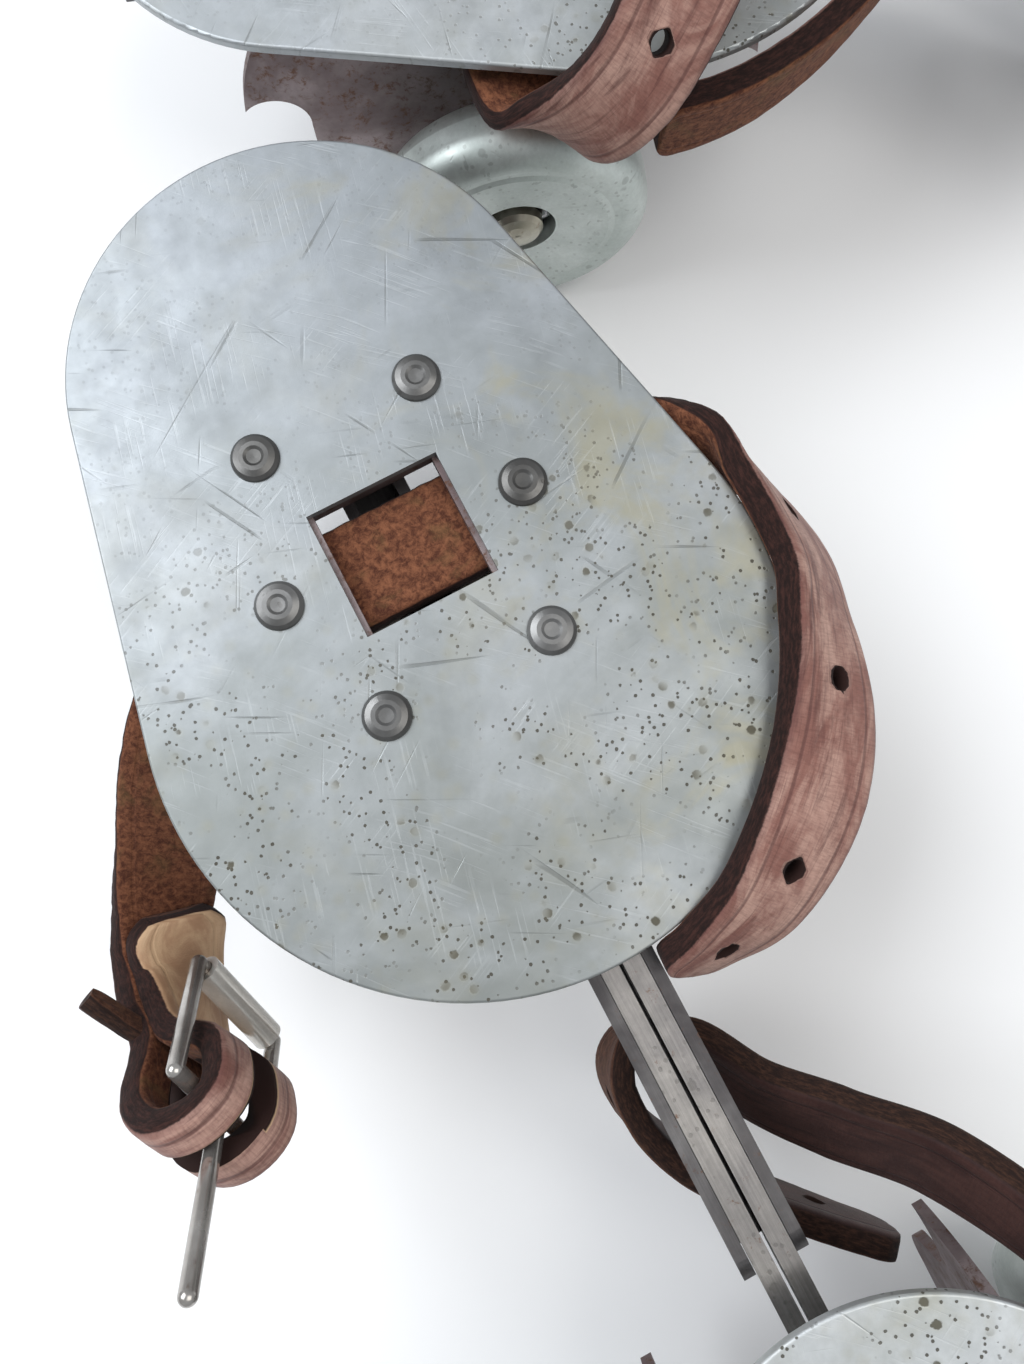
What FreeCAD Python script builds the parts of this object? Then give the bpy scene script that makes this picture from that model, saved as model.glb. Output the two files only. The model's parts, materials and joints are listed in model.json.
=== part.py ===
import FreeCAD, Part
import math
import os
from FreeCAD import Placement, Rotation, Vector

# A pair of adjustable quad roller skates.  Each skate is modelled in its own frame: +X to its right,
# +Y to its toe, +Z up, with Z = 0 on the floor, X = 0 on its centre line and Y = 0 over its front axle.
# The two skates are then set side by side and the origin is moved to the middle of the pair's footprint.

DIMENSIONS = [
    ("plate_half_width", 46.0, "half width of the sole plate at its widest"),
    ("waist_centre", -19.9, "y of the centre of the plate's wide rear arc"),
    ("toe_radius", 35.6, "radius of the toe arc, and of both ends of the heel plate"),
    ("toe_centre", 29.9, "y of the centre of the toe arc"),
    ("plate_sheet", 1.4, "thickness of the pressed plates"),
    ("plate_top", 64.3, "height of the plates' upper face over the floor"),
    ("edge_round", 0.45, "rounding of the plates' upper edge"),
    ("window_width", 20.8, "square window, across"),
    ("window_length", 19.6, "square window, along"),
    ("shank_radius", 2.0, "rivet shank"),
    ("head_radius", 3.6, "rivet head"),
    ("head_rise", 1.25, "height of a rivet head"),
    ("rivet_side", 19.45, "x of the two middle rivets"),
    ("rivet_pair", 13.0, "x of the four outer rivets"),
    ("rivet_reach", 21.0, "y of the four outer rivets, from the axle"),
    ("web_sheet", 2.0, "thickness of a truck bracket's web"),
    ("cheek_sheet", 1.8, "thickness of a truck bracket's cheeks"),
    ("bracket_half", 25.0, "half width of a truck bracket"),
    ("wheel_radius", 25.1, "tread radius, which is also the height of the axles"),
    ("wheel_width", 13.0, "width of a wheel over its two pressings"),
    ("wheel_face", 47.4, "x of a wheel's outer face"),
    ("wheel_sheet", 1.3, "thickness of the wheel pressings"),
    ("axle_radius", 3.4, "axle and ball track"),
    ("ball_radius", 1.95, "bearing ball"),
    ("race_radius", 7.4, "inside of the wheel's ball race"),
    ("keel_half", 5.2, "half of the keel channel's outer width"),
    ("keel_wall", 1.9, "wall of the keel channel"),
    ("keel_top", 55.6, "height of the keel channel's upper edges"),
    ("keel_deep", 13.0, "depth of the keel channel"),
    ("keel_heel", -114.5, "y of the keel channel's heel end"),
    ("keel_toe", 64.0, "y of the keel channel's toe end"),
    ("bar_width", 2.9, "thickness of one slider bar"),
    ("bar_gap", 0.6, "seam between the two slider bars"),
    ("bar_toe", -13.0, "y of the slider bars' toe end"),
    ("clamp_place", -50.0, "y of the clamp bolt"),
    ("clamp_radius", 2.5, "shank radius of the clamp bolt"),
    ("rear_axle", -170.0, "y of the rear axle"),
    ("heel_half", 52.3, "half length of the heel plate"),
    ("cup_rise", 34.0, "height of the heel cup over the plate"),
    ("cup_sheet", 1.4, "thickness of the heel cup"),
    ("strap_width", 16.0, "width of the straps"),
    ("strap_thick", 4.2, "thickness of the straps"),
    ("wire_radius", 1.25, "wire of the buckles"),
    ("buckle_width", 20.4, "between the middles of a buckle's two arms"),
    ("buckle_reach", 19.0, "from a buckle's bar to its far side"),
    ("tongue_reach", 25.0, "length of a buckle tongue"),
]

SECOND_SKATE_TURN = 69.6            # degrees, seen from above
SECOND_SKATE_PLACE = Vector(63.7, 98.1, 0)
BALLS_IN_RING = 8
RUNNING_GAP = 0.05                  # radial clearance of a turning fit
STATIONS_PER_SPAN = 3               # sections between two chosen strap stations

doc = FreeCAD.newDocument("quad_roller_skates")
sheet = doc.addObject("Spreadsheet::Sheet", "Dims")
for row, (alias, value, note) in enumerate(DIMENSIONS, start=1):
    sheet.set(f"A{row}", alias)
    sheet.set(f"B{row}", str(value))
    sheet.set(f"C{row}", note)
    sheet.setAlias(f"B{row}", alias)
doc.recompute()

SIZE = {alias: float(sheet.get(alias)) for alias, value, note in DIMENSIONS}
finished = []                       # (object, placement in its skate, placement of the skate)


# ---------------------------------------------------------------- small helpers

def bind(feature, **sizes):
    """Set sizes of a feature: a text is an expression on the sheet, anything else a value."""
    for name, size in sizes.items():
        if isinstance(size, str):
            feature.setExpression(name, size)
        else:
            setattr(feature, name, size)
    return feature


def move(feature, x=None, y=None, z=None):
    """Bind the place of a primitive to expressions on the sheet."""
    for letter, words in (("x", x), ("y", y), ("z", z)):
        if words is not None:
            feature.setExpression(f".Placement.Base.{letter}", words)
    return feature


def finish(feature, label, skate, local=Placement()):
    """Name a sub-part and remember where it belongs."""
    feature.Label = label
    finished.append((feature, local, skate))
    return feature


def box(length, width, height, x, y, z):
    feature = doc.addObject("Part::Box", "Block")
    bind(feature, Length=length, Width=width, Height=height)
    return move(feature, x, y, z)


def rod(radius, length, x, y, z, turn):
    """A cylinder whose axis is turned from +Z by a rotation."""
    feature = doc.addObject("Part::Cylinder", "Rod")
    bind(feature, Radius=radius, Height=length)
    feature.Placement.Rotation = turn
    return move(feature, x, y, z)


ALONG_X = Rotation(Vector(0, 1, 0), 90)
ALONG_Z = Rotation()


def fuse(*pieces):
    feature = doc.addObject("Part::MultiFuse", "Joined")
    feature.Shapes = list(pieces)
    return feature


def cut(base, *tools):
    feature = doc.addObject("Part::Cut", "Trimmed")
    feature.Base = base
    feature.Tool = tools[0] if len(tools) == 1 else fuse(*tools)
    return feature


def group(*pieces):
    feature = doc.addObject("Part::Compound", "Group")
    feature.Links = list(pieces)
    return feature


def shaped(shape, label, skate, local=Placement()):
    """A sub-part whose shape comes from Part's own functions."""
    feature = doc.addObject("Part::Feature", label)
    feature.Shape = shape
    return finish(feature, label, skate, local)


def origin_plane(body, role):
    return next(item for item in body.Origin.OriginFeatures if item.Role == role)


def sketch_on(body, role, lift=None):
    sketch = body.newObject("Sketcher::SketchObject", "Outline")
    sketch.AttachmentSupport = [(origin_plane(body, role), "")]
    sketch.MapMode = "FlatFace"
    if lift is not None:
        sketch.setExpression(".AttachmentOffset.Base.z", lift)
    return sketch


def draw(sketch, start, *steps):
    """Draw a closed outline: a point is a straight run to it, a pair of points an arc through the first."""
    here = start
    for step in steps:
        if isinstance(step[0], tuple):
            through, end = step
            curve = Part.Arc(Vector(*here, 0), Vector(*through, 0), Vector(*end, 0))
        else:
            end = step
            curve = Part.LineSegment(Vector(*here, 0), Vector(*end, 0))
        sketch.addGeometry(curve, False)
        here = end


def drill(sketch, places, radius):
    for x, y in places:
        sketch.addGeometry(Part.Circle(Vector(x, y, 0), Vector(0, 0, 1), radius), False)


def rectangle(sketch, half_x, half_y):
    draw(sketch, (-half_x, -half_y), (half_x, -half_y), (half_x, half_y), (-half_x, half_y), (-half_x, -half_y))


def pad(body, sketch, length, middle=False):
    feature = body.newObject("PartDesign::Pad", "Pad")
    feature.Profile = sketch
    bind(feature, Length=length)
    if middle:
        feature.SideType = "Symmetric"
    body.Tip = feature
    return feature


def round_top(body, base, height):
    """Round the edges of a plate's upper face that lie on its outer outline."""
    doc.recompute()
    reach = base.Shape.BoundBox
    names = []
    for number, edge in enumerate(base.Shape.Edges, start=1):
        middle = edge.valueAt((edge.FirstParameter + edge.LastParameter) / 2)
        flat = all(abs(point.Point.z - height) < 0.01 for point in edge.Vertexes)
        far = abs(middle.x) > SIZE["rivet_side"] + SIZE["head_radius"]
        far = far or min(reach.YMax - middle.y, middle.y - reach.YMin) < SIZE["head_radius"]
        if flat and abs(middle.z - height) < 0.01 and far:
            names.append(f"Edge{number}")
    feature = body.newObject("PartDesign::Fillet", "Rounding")
    feature.Base = (base, names)
    bind(feature, Radius="Dims.edge_round")
    body.Tip = feature


def turned(profile, axis=Vector(1, 0, 0)):
    """A solid of revolution about the X axis from a closed profile of (along, radius) points."""
    points = [Vector(along, radius, 0) for along, radius in profile]
    face = Part.Face(Part.makePolygon(points + points[:1]))
    return face.revolve(Vector(0, 0, 0), axis, 360)


# ---------------------------------------------------------------- plates and rivets

def rivet_places(rear=False):
    """Rivet centres from the axle: two pairs, and two more beside the front plate's window."""
    pair, reach, side = SIZE["rivet_pair"], SIZE["rivet_reach"], SIZE["rivet_side"]
    places = [(x, y) for x in (-pair, pair) for y in (-reach, reach)]
    if not rear:
        places += [(-side, 0.0), (side, 0.0)]
    return places


def tangent_arcs(top, top_radius, low, low_radius):
    """Points of an outline of two arcs on the centre line joined by their outer tangents."""
    lean = math.asin((low_radius - top_radius) / (top - low))
    side, rise = math.cos(lean), math.sin(lean)
    upper = (top_radius * side, top + top_radius * rise)
    lower = (low_radius * side, low + low_radius * rise)
    return upper, lower, (0.0, top + top_radius), (0.0, low - low_radius)


def front_plate(name, skate):
    body = doc.addObject("PartDesign::Body", "Body")
    sketch = sketch_on(body, "XY_Plane", "Dims.plate_top - Dims.plate_sheet")
    upper, lower, toe, heel = tangent_arcs(SIZE["toe_centre"], SIZE["toe_radius"],
                                           SIZE["waist_centre"], SIZE["plate_half_width"])
    left_upper = (-upper[0], upper[1])
    left_lower = (-lower[0], lower[1])
    draw(sketch, upper, (toe, left_upper), left_lower, (heel, lower), upper)
    rectangle(sketch, SIZE["window_width"] / 2, SIZE["window_length"] / 2)
    drill(sketch, rivet_places(), SIZE["shank_radius"])
    base = pad(body, sketch, "Dims.plate_sheet")
    round_top(body, base, SIZE["plate_top"])
    finish(body, name + "front_plate", skate)


def heel_plate(name, skate):
    body = doc.addObject("PartDesign::Body", "Body")
    sketch = sketch_on(body, "XY_Plane", "Dims.plate_top - Dims.plate_sheet")
    radius = SIZE["toe_radius"]
    straight = SIZE["heel_half"] - radius
    corners = [(radius, -straight), (radius, straight), (-radius, straight), (-radius, -straight)]
    draw(sketch, corners[0], corners[1], ((0.0, straight + radius), corners[2]),
         corners[3], ((0.0, -straight - radius), corners[0]))
    drill(sketch, rivet_places(rear=True) + cup_rivet_places(), SIZE["shank_radius"])
    base = pad(body, sketch, "Dims.plate_sheet")
    round_top(body, base, SIZE["plate_top"])
    finish(body, name + "heel_plate", skate, Placement(Vector(0, SIZE["rear_axle"], 0), Rotation()))


def rivet(grip):
    """One solid rivet with its head over Z = 0: a dome with a dished, ringed top, a shank and a tail."""
    head, shank, rise = SIZE["head_radius"], SIZE["shank_radius"], SIZE["head_rise"]
    tail = 1.45 * shank
    profile = [(rise * 0.72, 0), (rise * 0.76, head * 0.30), (rise, head * 0.42), (rise * 0.98, head * 0.60),
               (rise * 0.72, head * 0.84), (rise * 0.34, head * 0.97), (0, head), (0, shank),
               (-grip, shank), (-grip, tail), (-grip - 0.6, tail * 0.9), (-grip - 0.9, 0)]
    solid = turned(profile)
    solid.rotate(Vector(0, 0, 0), Vector(0, 1, 0), -90)
    return solid


def rivet_set(name, skate, rear=False):
    grip = SIZE["plate_sheet"] + SIZE["web_sheet"]
    solids = [rivet(grip).translated(Vector(x, y, SIZE["plate_top"])) for x, y in rivet_places(rear)]
    label = name + ("heel_rivets" if rear else "front_rivets")
    local = Placement()
    if rear:
        over = SIZE["plate_top"] + SIZE["cup_sheet"]
        grip = SIZE["cup_sheet"] + SIZE["plate_sheet"]
        solids += [rivet(grip).translated(Vector(x, y, over)) for x, y in cup_rivet_places()]
        local = Placement(Vector(0, SIZE["rear_axle"], 0), Rotation())
    shaped(Part.makeCompound(solids), label, skate, local)


# ---------------------------------------------------------------- truck brackets, axles and wheels

def bracket(name, skate, rear=False):
    """A pressed channel: a web under the plate, and two cheeks with a horn at each end."""
    under = SIZE["plate_top"] - SIZE["plate_sheet"]
    axle = SIZE["wheel_radius"]
    boss = axle - 9.6
    body = doc.addObject("PartDesign::Body", "Body")
    sketch = sketch_on(body, "YZ_Plane")
    shoulder, horn, root = (33.0, under), (46.2, under - 25.2), (35.2, under - 30.5)
    foot, toe = (35.2, under - 36.0), (28.5, under - 43.5)
    half = [(shoulder, None), (horn, (41.4, under - 10.6)), (root, (39.2, under - 23.6)), (foot, None),
            (toe, (33.6, under - 41.4)), ((9.0, boss + 1.0), None)]
    steps = [(through, end) if through else end for end, through in half[1:]]
    steps.append(((0.0, boss), (-9.0, boss + 1.0)))
    backwards = [point for point, through in half][::-1]
    bends = [through for point, through in half][::-1]
    for end, through in zip(backwards[1:], bends[:-1]):
        end = (-end[0], end[1])
        steps.append(((-through[0], through[1]), end) if through else end)
    steps.append(shoulder)
    draw(sketch, shoulder, *steps)
    pad(body, sketch, "2 * Dims.bracket_half", middle=True)
    tools = [box("2 * (Dims.bracket_half - Dims.cheek_sheet)", 100, "Dims.plate_top - Dims.plate_sheet"
                 " - Dims.web_sheet", "Dims.cheek_sheet - Dims.bracket_half", "-50", None)]
    tools.append(rod("Dims.axle_radius", "2 * Dims.bracket_half + 2", "-Dims.bracket_half - 1", None,
                     "Dims.wheel_radius", ALONG_X))
    for x, y in rivet_places(rear):
        tools.append(rod("Dims.shank_radius", 10, str(x), str(y), "Dims.plate_top - 8", ALONG_Z))
    if not rear:
        tools.append(box("Dims.window_width - 1.6", "Dims.window_length", 10, "0.8 - Dims.window_width / 2",
                         "-Dims.window_length / 2", "Dims.plate_top - 8"))
        tools.append(box("2 * Dims.bracket_half + 2", "Dims.strap_width + 2", "Dims.strap_thick + 2",
                         "-Dims.bracket_half - 1", "-Dims.strap_width / 2 - 1",
                         "Dims.keel_top - 1.4"))
    channel = cut(body, *tools)
    posts = []
    for place in ("11.5", "-17.5"):
        foot_height = "Dims.keel_top" if not rear else "Dims.keel_top - 0.3"
        posts.append(box("2 * Dims.keel_half", 6, f"Dims.plate_top - Dims.plate_sheet - Dims.web_sheet"
                         f" - ({foot_height})", "-Dims.keel_half", place, foot_height))
    label = name + ("heel_bracket" if rear else "front_bracket")
    local = Placement(Vector(0, SIZE["rear_axle"] if rear else 0, 0), Rotation())
    finish(fuse(channel, *posts), label, skate, local)


def axle_place(rear):
    return Placement(Vector(0, SIZE["rear_axle"] if rear else 0, SIZE["wheel_radius"]), Rotation())


def axle(name, skate, rear):
    reach = "(Dims.wheel_face - 1.2)"
    steel = rod("Dims.axle_radius", f"2 * {reach}", f"-{reach}", None, None, ALONG_X)
    feature = fuse(steel, rod("Dims.axle_radius - 0.6", f"2 * {reach} + 0.8", f"-{reach} - 0.4",
                              None, None, ALONG_X))
    finish(feature, name + ("heel_axle" if rear else "front_axle"), skate, axle_place(rear))


def axle_fasteners(name, skate, rear):
    """Two domed end nuts and two inner cones, as separate solids."""
    face, bore = SIZE["wheel_face"], SIZE["axle_radius"]
    inner = face - SIZE["wheel_width"]
    nut = [(face - 3.4, bore), (face - 3.4, 5.0), (face - 1.6, 5.0), (face - 0.7, 4.2), (face - 0.2, 2.6),
           (face, 0), (face - 0.8, 0), (face - 0.8, bore)]
    cone = [(SIZE["bracket_half"], bore), (SIZE["bracket_half"], 6.4), (inner + 0.6, 6.4),
            (inner + 1.4, bore + 0.8), (inner + 1.4, bore)]
    solids = []
    for profile in (nut, cone):
        for side in (1, -1):
            solids.append(turned([(side * along, radius) for along, radius in profile]))
    label = name + ("heel_axle_nuts" if rear else "front_axle_nuts")
    shaped(Part.makeCompound(solids), label, skate, axle_place(rear))


def wheel(name, skate, rear, side):
    """A hollow pressed wheel turned from one bent strip, with its ball race in the middle."""
    face, wide, thick = SIZE["wheel_face"], SIZE["wheel_width"], SIZE["wheel_sheet"]
    tread, race = SIZE["wheel_radius"], SIZE["race_radius"]

    def at(depth, radius):
        return (side * (face - depth), radius)

    body = doc.addObject("PartDesign::Body", "Body")
    sketch = sketch_on(body, "XY_Plane")
    tube = race + thick
    draw(sketch, at(1.6, race), at(wide - 2.5, race), at(wide - 2.5, tube), at(2.4 + thick, tube),
         (at(2.2 + thick, tube + 0.9), at(1.7 + thick, tube + 1.4)),
         at(0.6 + thick, 17.4), at(1.2 + thick, 18.4),
         at(1.0 + thick, 19.6),
         (at(2.3 + thick, 22.9), at(5.2, tread - thick)),
         at(wide - 5.0, tread - thick),
         (at(wide - thick - 1.9, 22.4), at(wide - thick, 18.6)),
         at(wide - thick, 12.4), at(wide, 12.4), at(wide, 18.6),
         (at(wide - 1.4, 23.3), at(wide - 5.0, tread)),
         at(5.2, tread),
         (at(1.5, 23.8), at(0.0, 19.8)),
         at(0.2, 18.4), at(0.0, 17.2), at(1.1, tube + 1.4),
         (at(1.3, tube + 0.4), at(1.6, race + 0.4)), at(1.6, race))
    feature = body.newObject("PartDesign::Revolution", "Turning")
    feature.Profile = sketch
    feature.ReferenceAxis = (sketch, ["H_Axis"])
    feature.Angle = 360
    body.Tip = feature
    finish(body, name + wheel_label(rear, side), skate, axle_place(rear))


def wheel_label(rear, side):
    return ("heel_" if rear else "front_") + ("right_wheel" if side > 0 else "left_wheel")


def balls(name, skate, rear, side):
    """Two rings of loose balls between the axle and the wheel's race."""
    ring = SIZE["axle_radius"] + RUNNING_GAP + SIZE["ball_radius"]
    inner = SIZE["wheel_face"] - SIZE["wheel_width"]
    solids = []
    for depth in (3.5, 7.5):
        for number in range(BALLS_IN_RING):
            turn = 2 * math.pi * number / BALLS_IN_RING
            centre = Vector(side * (inner + depth), ring * math.cos(turn), ring * math.sin(turn))
            solids.append(Part.makeSphere(SIZE["ball_radius"], centre))
    label = name + wheel_label(rear, side).replace("wheel", "balls")
    shaped(Part.makeCompound(solids), label, skate, axle_place(rear))


# ---------------------------------------------------------------- keel, slider and clamp

def keel(name, skate):
    """The channel under the front plate: rounded at its heel end, with a tab that shows past the toe."""
    body = doc.addObject("PartDesign::Body", "Body")
    sketch = sketch_on(body, "YZ_Plane")
    top, heel, toe = SIZE["keel_top"], SIZE["keel_heel"], SIZE["keel_toe"]
    low = top - SIZE["keel_deep"]
    draw(sketch, (heel + 4.0, top), ((heel + 1.2, top - 1.2), (heel, top - 4.0)), (heel, low + 5.0),
         ((heel + 1.5, low + 1.5), (heel + 5.0, low)), (toe, low), (toe, top), (heel + 4.0, top))
    pad(body, sketch, "2 * Dims.keel_half", middle=True)
    inside = box("2 * (Dims.keel_half - Dims.keel_wall)", 200, "Dims.keel_deep",
                 "Dims.keel_wall - Dims.keel_half", "-130", "Dims.keel_top - Dims.keel_deep + Dims.keel_wall")
    hole = rod("Dims.clamp_radius + 0.1", 20, "-10", "Dims.clamp_place", "Dims.keel_top - 6", ALONG_X)
    tab = box("Dims.keel_wall + 0.6", 9, 4, "Dims.keel_half - Dims.keel_wall - 0.6", "Dims.keel_toe - 3",
              "Dims.keel_top - 4")
    finish(fuse(cut(body, inside, hole), tab), name + "keel_channel", skate)


def slider(name, skate):
    """Two flat bars side by side, each slotted for the clamp bolt."""
    bars = []
    for start in ("Dims.bar_gap / 2", "-Dims.bar_gap / 2 - Dims.bar_width"):
        bar = box("Dims.bar_width", "Dims.bar_toe - Dims.rear_axle + 36", "Dims.keel_deep - Dims.keel_wall - 0.5",
                  start, "Dims.rear_axle - 36", "Dims.keel_top - Dims.keel_deep + Dims.keel_wall + 0.2")
        slot = box(20, 51, "2 * Dims.clamp_radius + 0.4", "-10", "Dims.clamp_place - 28",
                   "Dims.keel_top - 6 - Dims.clamp_radius - 0.2")
        bars.append(cut(bar, slot))
    finish(group(*bars), name + "slider_bars", skate)


def clamp(name, skate):
    """A cross bolt with a round head, and the wing nut that squeezes the channel on the bars."""
    height = "Dims.keel_top - 6"
    shank = rod("Dims.clamp_radius", "2 * Dims.keel_half + 11", "-Dims.keel_half", "Dims.clamp_place",
                height, ALONG_X)
    head = rod("Dims.clamp_radius + 2", 2.8, "-Dims.keel_half - 2.8", "Dims.clamp_place", height, ALONG_X)
    finish(fuse(shank, head), name + "clamp_bolt", skate)
    hub = rod("Dims.clamp_radius + 1.9", 5, "Dims.keel_half + 0.2", "Dims.clamp_place", height, ALONG_X)
    upper = box(2.2, 3.2, 9, "Dims.keel_half + 2.8", "Dims.clamp_place - 1.6", height)
    lower = box(2.2, 3.2, 9, "Dims.keel_half + 2.8", "Dims.clamp_place - 1.6", height + " - 9")
    bore = rod(f"Dims.clamp_radius + {RUNNING_GAP}", 20, "0", "Dims.clamp_place", height, ALONG_X)
    finish(cut(fuse(hub, upper, lower), bore), name + "wing_nut", skate)


# ---------------------------------------------------------------- heel cup

def cup_rivet_places():
    """Rivets of the heel cup's flange, from the rear axle."""
    return [(0.0, -43.5), (-17.5, -36.8), (17.5, -36.8)]


def heel_cup(name, skate):
    """A bent wall round the heel with a flange on the plate and a slot each side for the ankle strap."""
    outer = SIZE["toe_radius"] - 1.6
    inner = outer - SIZE["cup_sheet"]
    lip = outer - 15.0
    centre, front = SIZE["toe_radius"] - SIZE["heel_half"], 12.0
    body = doc.addObject("PartDesign::Body", "Body")
    wall = sketch_on(body, "XY_Plane", "Dims.plate_top")
    draw(wall, (outer, front), (outer, centre), ((0.0, centre - outer), (-outer, centre)), (-outer, front),
         (-inner, front), (-inner, centre), ((0.0, centre - inner), (inner, centre)), (inner, front),
         (outer, front))
    pad(body, wall, "Dims.cup_rise")
    flange = sketch_on(body, "XY_Plane", "Dims.plate_top")
    draw(flange, (inner + 0.5, centre), ((0.0, centre - inner - 0.5), (-inner - 0.5, centre)), (-lip, centre),
         ((0.0, centre - lip), (lip, centre)), (inner + 0.5, centre))
    pad(body, flange, "Dims.cup_sheet")
    tools = [box(100, 20, "Dims.strap_width + 4", "-50", "-14", "Dims.plate_top + 7.6")]
    for x, y in cup_rivet_places():
        tools.append(rod("Dims.shank_radius", 10, str(x), str(y), "Dims.plate_top - 4", ALONG_Z))
    finish(cut(body, *tools), name + "heel_cup", skate,
           Placement(Vector(0, SIZE["rear_axle"], 0), Rotation()))


# ---------------------------------------------------------------- straps

UP = Vector(0, 0, 1)
EDGE_AIR = 1.1                      # clearance of a strap from the plate's edge


def hug(angle, spread, over):
    """A strap station on the plate's wide edge: the upper edge leans in over the plate, the lower one out."""
    turn = math.radians(angle)
    out = Vector(math.cos(turn), math.sin(turn), 0)
    steep = math.sqrt(1 - spread * spread)
    half, thick = SIZE["strap_width"] / 2, SIZE["strap_thick"] / 2
    lift = over * steep / spread + EDGE_AIR
    corner = Vector(0, SIZE["waist_centre"], lift) + out * (SIZE["plate_half_width"] - over)
    centre = corner + (out * spread - UP * steep) * half + (out * steep + UP * spread) * thick
    return (tuple(centre), tuple(UP * steep - out * spread))


def hang(angle, lean, top, gap):
    """A strap station beside the plate's wide edge: the upper edge leans out, the lower one in."""
    turn = math.radians(angle)
    out = Vector(math.cos(turn), math.sin(turn), 0)
    steep = math.sqrt(1 - lean * lean)
    half, thick = SIZE["strap_width"] / 2, SIZE["strap_thick"] / 2
    across = out * lean + UP * steep
    corner = Vector(0, SIZE["waist_centre"], top) + out * (SIZE["plate_half_width"] + gap)
    centre = corner - across * half + (out * steep - UP * lean) * thick
    return (tuple(centre), tuple(across))


def mirrored(stations):
    return [((-x, y, z), (-a, b, c)) for (x, y, z), (a, b, c) in stations]


# Strap stations: the middle of the strap, with Z from the plate's upper face, and the way from its
# heel or lower edge to its toe or upper edge.  The buckle end is the left skate's; the right's is mirrored.
BUCKLE_END = [
    ((-66.3, -50.5, -17.5), (-0.15, 0.72, 0.66)),
    ((-67.5, -43.8, -24.0), (-0.23, 0.64, 0.73)),
    ((-65.8, -35.8, -28.0), (-0.30, 0.60, 0.74)),
    ((-60.6, -27.6, -27.0), (-0.36, 0.62, 0.70)),
    ((-53.4, -19.6, -20.8), (-0.38, 0.70, 0.58)),
    ((-45.6, -11.6, -12.6), (-0.34, 0.82, 0.42)),
    ((-37.5, -4.4, -8.2), (-0.18, 0.97, 0.14)),
]
TAIL_STATIONS = 4                   # the strap's end lies on this many of the stations above
TAIL_GAP = 4.7                      # between the middles of the two layers
TAIL_ASIDE = 0.5                    # the end lies this much nearer the heel edge
UNDER_PLATE = [
    ((-27.0, 0.0, -7.0), (0.0, 1.0, 0.0)),
    ((-16.5, 0.0, -6.9), (0.0, 1.0, 0.0)),
    ((-8.0, 0.0, -6.25), (0.0, 1.0, 0.0)),
    ((8.0, 0.0, -6.25), (0.0, 1.0, 0.0)),
    ((16.5, 0.0, -6.9), (0.0, 1.0, 0.0)),
    ((27.0, 0.0, -7.0), (0.0, 1.0, 0.0)),
]
LEFT_FREE_END = [
    ((36.0, -1.0, -7.4), (-0.06, 0.99, 0.04)),
    ((43.2, -4.8, -7.0), (-0.28, 0.86, 0.42)),
    ((49.4, -10.8, -5.4), (-0.36, 0.50, 0.79)),
    hug(-8, 0.56, 1.0),
    hug(-21, 0.69, 2.8),
    hug(-34, 0.86, 3.3),
    hug(-46, 0.92, 3.1),
    hug(-57, 0.88, 2.5),
    hug(-67, 0.74, 1.0),
    hug(-76, 0.50, 0.0),
    hug(-82, 0.36, -0.6),
]
RIGHT_FREE_END = [
    ((-38.0, -0.5, -6.8), (0.0, 0.99, 0.08)),
    ((-45.5, -3.6, -7.6), (0.14, 0.90, 0.34)),
    ((-50.4, -9.8, -4.0), (0.30, 0.72, 0.62)),
    ((-49.6, -16.5, 2.4), (0.42, 0.62, 0.60)),
    ((-44.0, -22.5, 8.8), (0.45, 0.70, 0.50)),
    ((-35.5, -28.5, 13.4), (0.50, 0.78, 0.36)),
    ((-24.5, -35.5, 16.0), (0.55, 0.80, 0.18)),
    ((-10.0, -43.5, 17.0), (0.52, 0.84, 0.10)),
    ((6.0, -51.0, 16.0), (0.42, 0.88, 0.18)),
    ((20.0, -59.0, 12.5), (0.20, 0.80, 0.50)),
    ((28.0, -69.5, 8.6), (-0.30, 0.45, 0.84)),
    ((24.0, -78.5, 6.2), (-0.16, 0.16, 0.97)),
    ((11.0, -81.0, 4.2), (0.0, 0.0, 1.0)),
    hang(-99, 0.05, 11.0, 11.0),
    hang(-112, 0.12, 7.0, 6.5),
    hang(-126, 0.16, 3.0, 3.4),
    hang(-141, 0.17, 0.6, 1.8),
    hang(-155, 0.17, -0.6, 1.5),
    hang(-167, 0.17, -1.2, 1.5),
    hang(-177, 0.16, -1.4, 1.5),
]
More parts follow.
